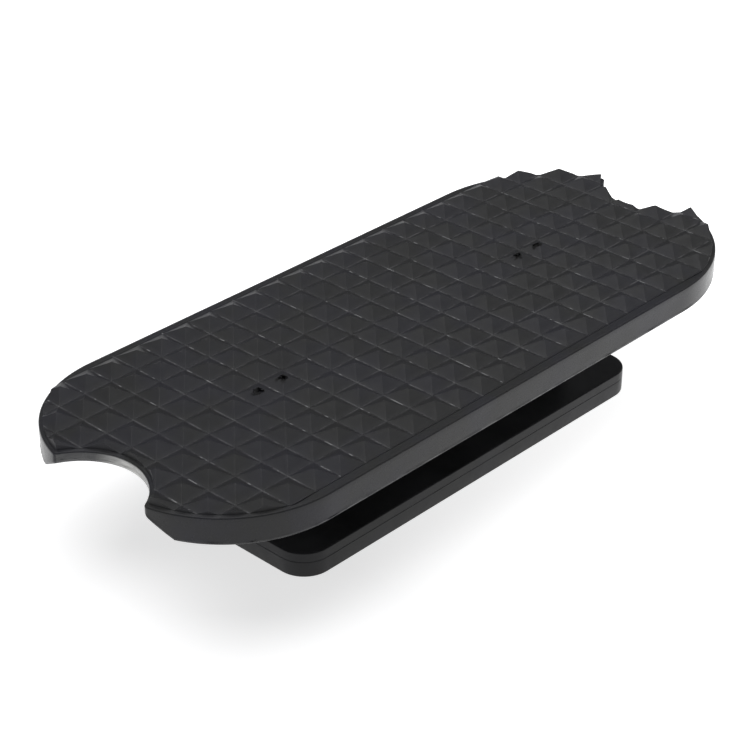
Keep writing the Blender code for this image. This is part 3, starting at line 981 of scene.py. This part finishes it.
def rubber(name, dark, light, rough, studded=False, painted_top_light=False):
    """Moulded black rubber: two close tones, fine grain, and patches of duller skin."""
    nodes = Nodes(name)
    patches = nodes.noise(9 * MM, 3.0, 0.55)
    tone = nodes.blend(nodes.spread(patches, 0.42, 0.62), dark, light)
    skin = nodes.noise(2.2 * MM, 4.0, 0.6)
    roughness = nodes.spread(skin, 0.3, 0.7, rough - 0.05, rough + 0.07)
    grains = nodes.noise(0.25 * MM, 3.0, 0.6)
    fine = nodes.math("MULTIPLY", grains, 0.4)
    height = nodes.math("ADD", nodes.math("MULTIPLY", skin, 0.6), fine)
    if painted_top_light:
        # Painted light: the faces that point up are lightened, in patches.
        normal = nodes.add("ShaderNodeNewGeometry").outputs["Normal"]
        top_light = nodes.spread(nodes.split(normal)[2], 0.85, 0.97, 0.0, 0.75)
        tone = nodes.blend(nodes.math("MULTIPLY", top_light, patches), tone, TOP_LIGHT_TONE)
    if studded:
        groove_highlights, fill_light_feet, middles = groove_masks(nodes)
        # Painted fill light at the foot of each stud.
        tone = nodes.blend(nodes.math("MULTIPLY", fill_light_feet, 0.06), tone, FOOT_FILL_LIGHT_TONE)
        # Painted highlight along the grooves, broken up by noise.
        broken = nodes.spread(nodes.noise(2.4 * MM, 3.0, 0.6), 0.44, 0.64)
        tone = nodes.blend(nodes.math("MULTIPLY", groove_highlights, broken), tone, LINE_HIGHLIGHT_TONE)
        # Painted glints in the grooves' middles.
        glints = nodes.spread(nodes.noise(1.7 * MM, 2.0, 0.5), 0.60, 0.66)
        tone = nodes.blend(nodes.math("MULTIPLY", middles, glints), tone, GLINT_TONE)
        # Painted shade darkens the pits in the stud tips that tore.
        torn_tip_shade = torn_tip_shade_mask(nodes, nodes.noise(0.7 * MM, 2.0, 0.5))
        tone = nodes.blend(torn_tip_shade, tone, TORN_TIP_SHADE_TONE)
        # Painted highlight on the notches' inner faces.
        tone = nodes.blend(notch_highlight_mask(nodes), tone, NOTCH_HIGHLIGHT_TONE)
        # The tread's top and the torn tips are duller than its wall.
        above = nodes.split(nodes.place)[2]
        matte = nodes.spread(above, RIM_TOP - 0.2 * MM, RIM_TOP - 0.1 * MM, 0.0, 0.26)
        matte = nodes.math("ADD", matte, nodes.math("MULTIPLY", torn_tip_shade, 0.3))
        roughness = nodes.math("ADD", roughness, matte)
    nodes.link(tone, nodes.shader.inputs["Base Color"])
    nodes.link(roughness, nodes.shader.inputs["Roughness"])
    nodes.link(nodes.bump(height, 0.35, 0.02 * MM), nodes.shader.inputs["Normal"])
    nodes.shader.inputs["Specular IOR Level"].default_value = 0.29
    return nodes.material


def metal(name, bright, dull, rough, brushed=(1.0, 1.0, 1.0)):
    """Machined or rolled metal: brightness and polish that vary along its tool marks."""
    nodes = Nodes(name)
    stain = nodes.noise(3.0 * MM, 4.0, 0.6)
    tone = nodes.blend(nodes.spread(stain, 0.35, 0.7), bright, dull)
    nodes.link(tone, nodes.shader.inputs["Base Color"])
    marks = nodes.noise(0.35 * MM, 3.0, 0.6, stretch=brushed)
    polish = nodes.spread(marks, 0.3, 0.7, rough - 0.08, rough + 0.12)
    nodes.link(polish, nodes.shader.inputs["Roughness"])
    nodes.link(nodes.bump(marks, 0.3, 0.008 * MM), nodes.shader.inputs["Normal"])
    nodes.shader.inputs["Metallic"].default_value = 1.0
    return nodes.material


# ------------------------------------------------------------ floor and light

FLOOR_RADIUS = 6.0
FLOOR_DROP = 0.05 * MM          # keeps the floor out of the plate's own underside


def build_floor():
    """A plain pale floor under the tread, lit up a little more towards the right."""
    bm = bmesh.new()
    bmesh.ops.create_circle(bm, cap_ends=True, segments=96, radius=FLOOR_RADIUS)
    floor = new_object("studio_floor", bm)
    floor.location.z = -FLOOR_DROP
    nodes = Nodes("studio_floor_pale")
    nodes.shader.inputs["Base Color"].default_value = (0.60, 0.60, 0.605, 1.0)
    nodes.shader.inputs["Emission Color"].default_value = (1.0, 1.0, 1.0, 1.0)
    glow = nodes.spread(nodes.split(nodes.place)[0], -0.03, 0.14, 0.70, 1.35)
    nodes.link(glow, nodes.shader.inputs["Emission Strength"])
    roughness = nodes.spread(nodes.noise(0.05, 2.0), 0.3, 0.7, 0.75, 0.85)
    nodes.link(roughness, nodes.shader.inputs["Roughness"])
    floor.data.materials.append(nodes.material)


def area_light(name, place, size, power):
    """A square soft light pointed at the origin."""
    data = bpy.data.lights.new(name, "AREA")
    data.shape = "RECTANGLE"
    data.size = data.size_y = size
    data.energy = power
    made = bpy.data.objects.new(name, data)
    bpy.context.scene.collection.objects.link(made)
    made.location = place
    made.rotation_mode = "QUATERNION"
    made.rotation_quaternion = (-Vector(place)).to_track_quat("-Z", "Y")


def build_lights():
    """Soft overhead light over dim surroundings; the camera itself sees a pale backdrop."""
    world = bpy.data.worlds.new("studio")
    world.use_nodes = True
    tree = world.node_tree
    tree.nodes.clear()
    output = tree.nodes.new("ShaderNodeOutputWorld")
    mix = tree.nodes.new("ShaderNodeMixShader")
    path = tree.nodes.new("ShaderNodeLightPath")
    sky = tree.nodes.new("ShaderNodeBackground")
    sky.inputs["Color"].default_value = (0.95, 0.97, 1.0, 1.0)
    backdrop = tree.nodes.new("ShaderNodeBackground")
    backdrop.inputs["Color"].default_value = (0.93, 0.93, 0.94, 1.0)
    direction = tree.nodes.new("ShaderNodeTexCoord")
    split = tree.nodes.new("ShaderNodeSeparateXYZ")
    # The surroundings are brighter near the horizon than overhead.
    fade = tree.nodes.new("ShaderNodeMapRange")
    set_range(fade, 0.0, 0.40, 0.30, 0.12)
    tree.links.new(direction.outputs["Generated"], split.inputs[0])
    tree.links.new(split.outputs[2], fade.inputs["Value"])
    tree.links.new(fade.outputs[0], sky.inputs["Strength"])
    tree.links.new(sky.outputs[0], mix.inputs[1])
    tree.links.new(backdrop.outputs[0], mix.inputs[2])
    tree.links.new(path.outputs["Is Camera Ray"], mix.inputs[0])
    tree.links.new(mix.outputs[0], output.inputs["Surface"])
    bpy.context.scene.world = world

    area_light("overhead", (-0.10, 0.15, 1.20), 1.2, 12.0)
    area_light("side", (1.3, -0.1, 1.15), 0.8, 2.8)
    area_light("kicker", (0.40, 0.58, 0.72), 0.14, 0.35)


# The camera stands where the photograph was taken from.
VIEW_AZIMUTH = math.radians(-46.59)
VIEW_ELEVATION = math.radians(30.47)
VIEW_DISTANCE = 0.3173
VIEW_SHIFT = Vector((-2.8 * MM, 3.2 * MM, 0.25 * MM))  # frames it as the photograph does
LENS = 100.44


def build_camera():
    """A camera at the photograph's angle, aimed close to the tread's middle."""
    middle = (plate_low + plate_high) / 2
    target = Vector((middle.x, middle.y, STUD_TOP / 2)) + VIEW_SHIFT
    back = Vector((
        math.sin(VIEW_AZIMUTH) * math.cos(VIEW_ELEVATION),
        -math.cos(VIEW_AZIMUTH) * math.cos(VIEW_ELEVATION),
        math.sin(VIEW_ELEVATION),
    ))
    data = bpy.data.cameras.new("camera")
    data.lens = LENS
    data.sensor_width = 36.0
    data.clip_start, data.clip_end = 0.01, 20.0
    camera = bpy.data.objects.new("camera", data)
    bpy.context.scene.collection.objects.link(camera)
    camera.location = target + back * VIEW_DISTANCE
    camera.rotation_mode = "QUATERNION"
    camera.rotation_quaternion = (-back).to_track_quat("-Z", "Y")
    bpy.context.scene.camera = camera


# ------------------------------------------------------------------- assembly

def finish_piece(piece, node, material):
    """Give a piece its material and let it stand for its CAD node."""
    piece.data.materials.clear()
    piece.data.materials.append(material)
    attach(piece, "root")
    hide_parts(node)


def build():
    """The whole scene; each material gets its two tones and then its roughness."""
    finish_piece(
        build_pad(), "tread_pad",
        rubber("tread_rubber", (0.016, 0.016, 0.0165), (0.017, 0.017, 0.022), 0.25, studded=True),
    )
    # The plate's rubber gets painted light on its upward faces.
    finish_piece(
        build_plate(), "retaining_plate",
        rubber("plate_rubber", (0.016, 0.016, 0.016), (0.019, 0.019, 0.021), 0.40, painted_top_light=True),
    )
    finish_piece(
        build_neck(), "neck_block",
        rubber("neck_rubber", (0.012, 0.012, 0.012), (0.015, 0.015, 0.016), 0.55),
    )
    finish_piece(
        build_core(), "pad_core_plate",
        metal("core_steel", (0.46, 0.47, 0.49), (0.34, 0.34, 0.35), 0.40, (0.15, 1.0, 1.0)),
    )
    place_pair(threaded_insert(), "threaded_insert",
               metal("insert_brass", (0.74, 0.54, 0.26), (0.58, 0.40, 0.18), 0.34))
    place_pair(cup_washer(), "cup_washer",
               metal("washer_steel", (0.52, 0.52, 0.53), (0.40, 0.40, 0.41), 0.38))
    place_pair(clamp_screw(), "clamp_screw",
               metal("screw_steel", (0.58, 0.59, 0.61), (0.44, 0.44, 0.46), 0.30))
    build_floor()
    build_lights()
    build_camera()
    bpy.context.scene.view_settings.view_transform = "Standard"


build()

bpy.context.view_layer.update()
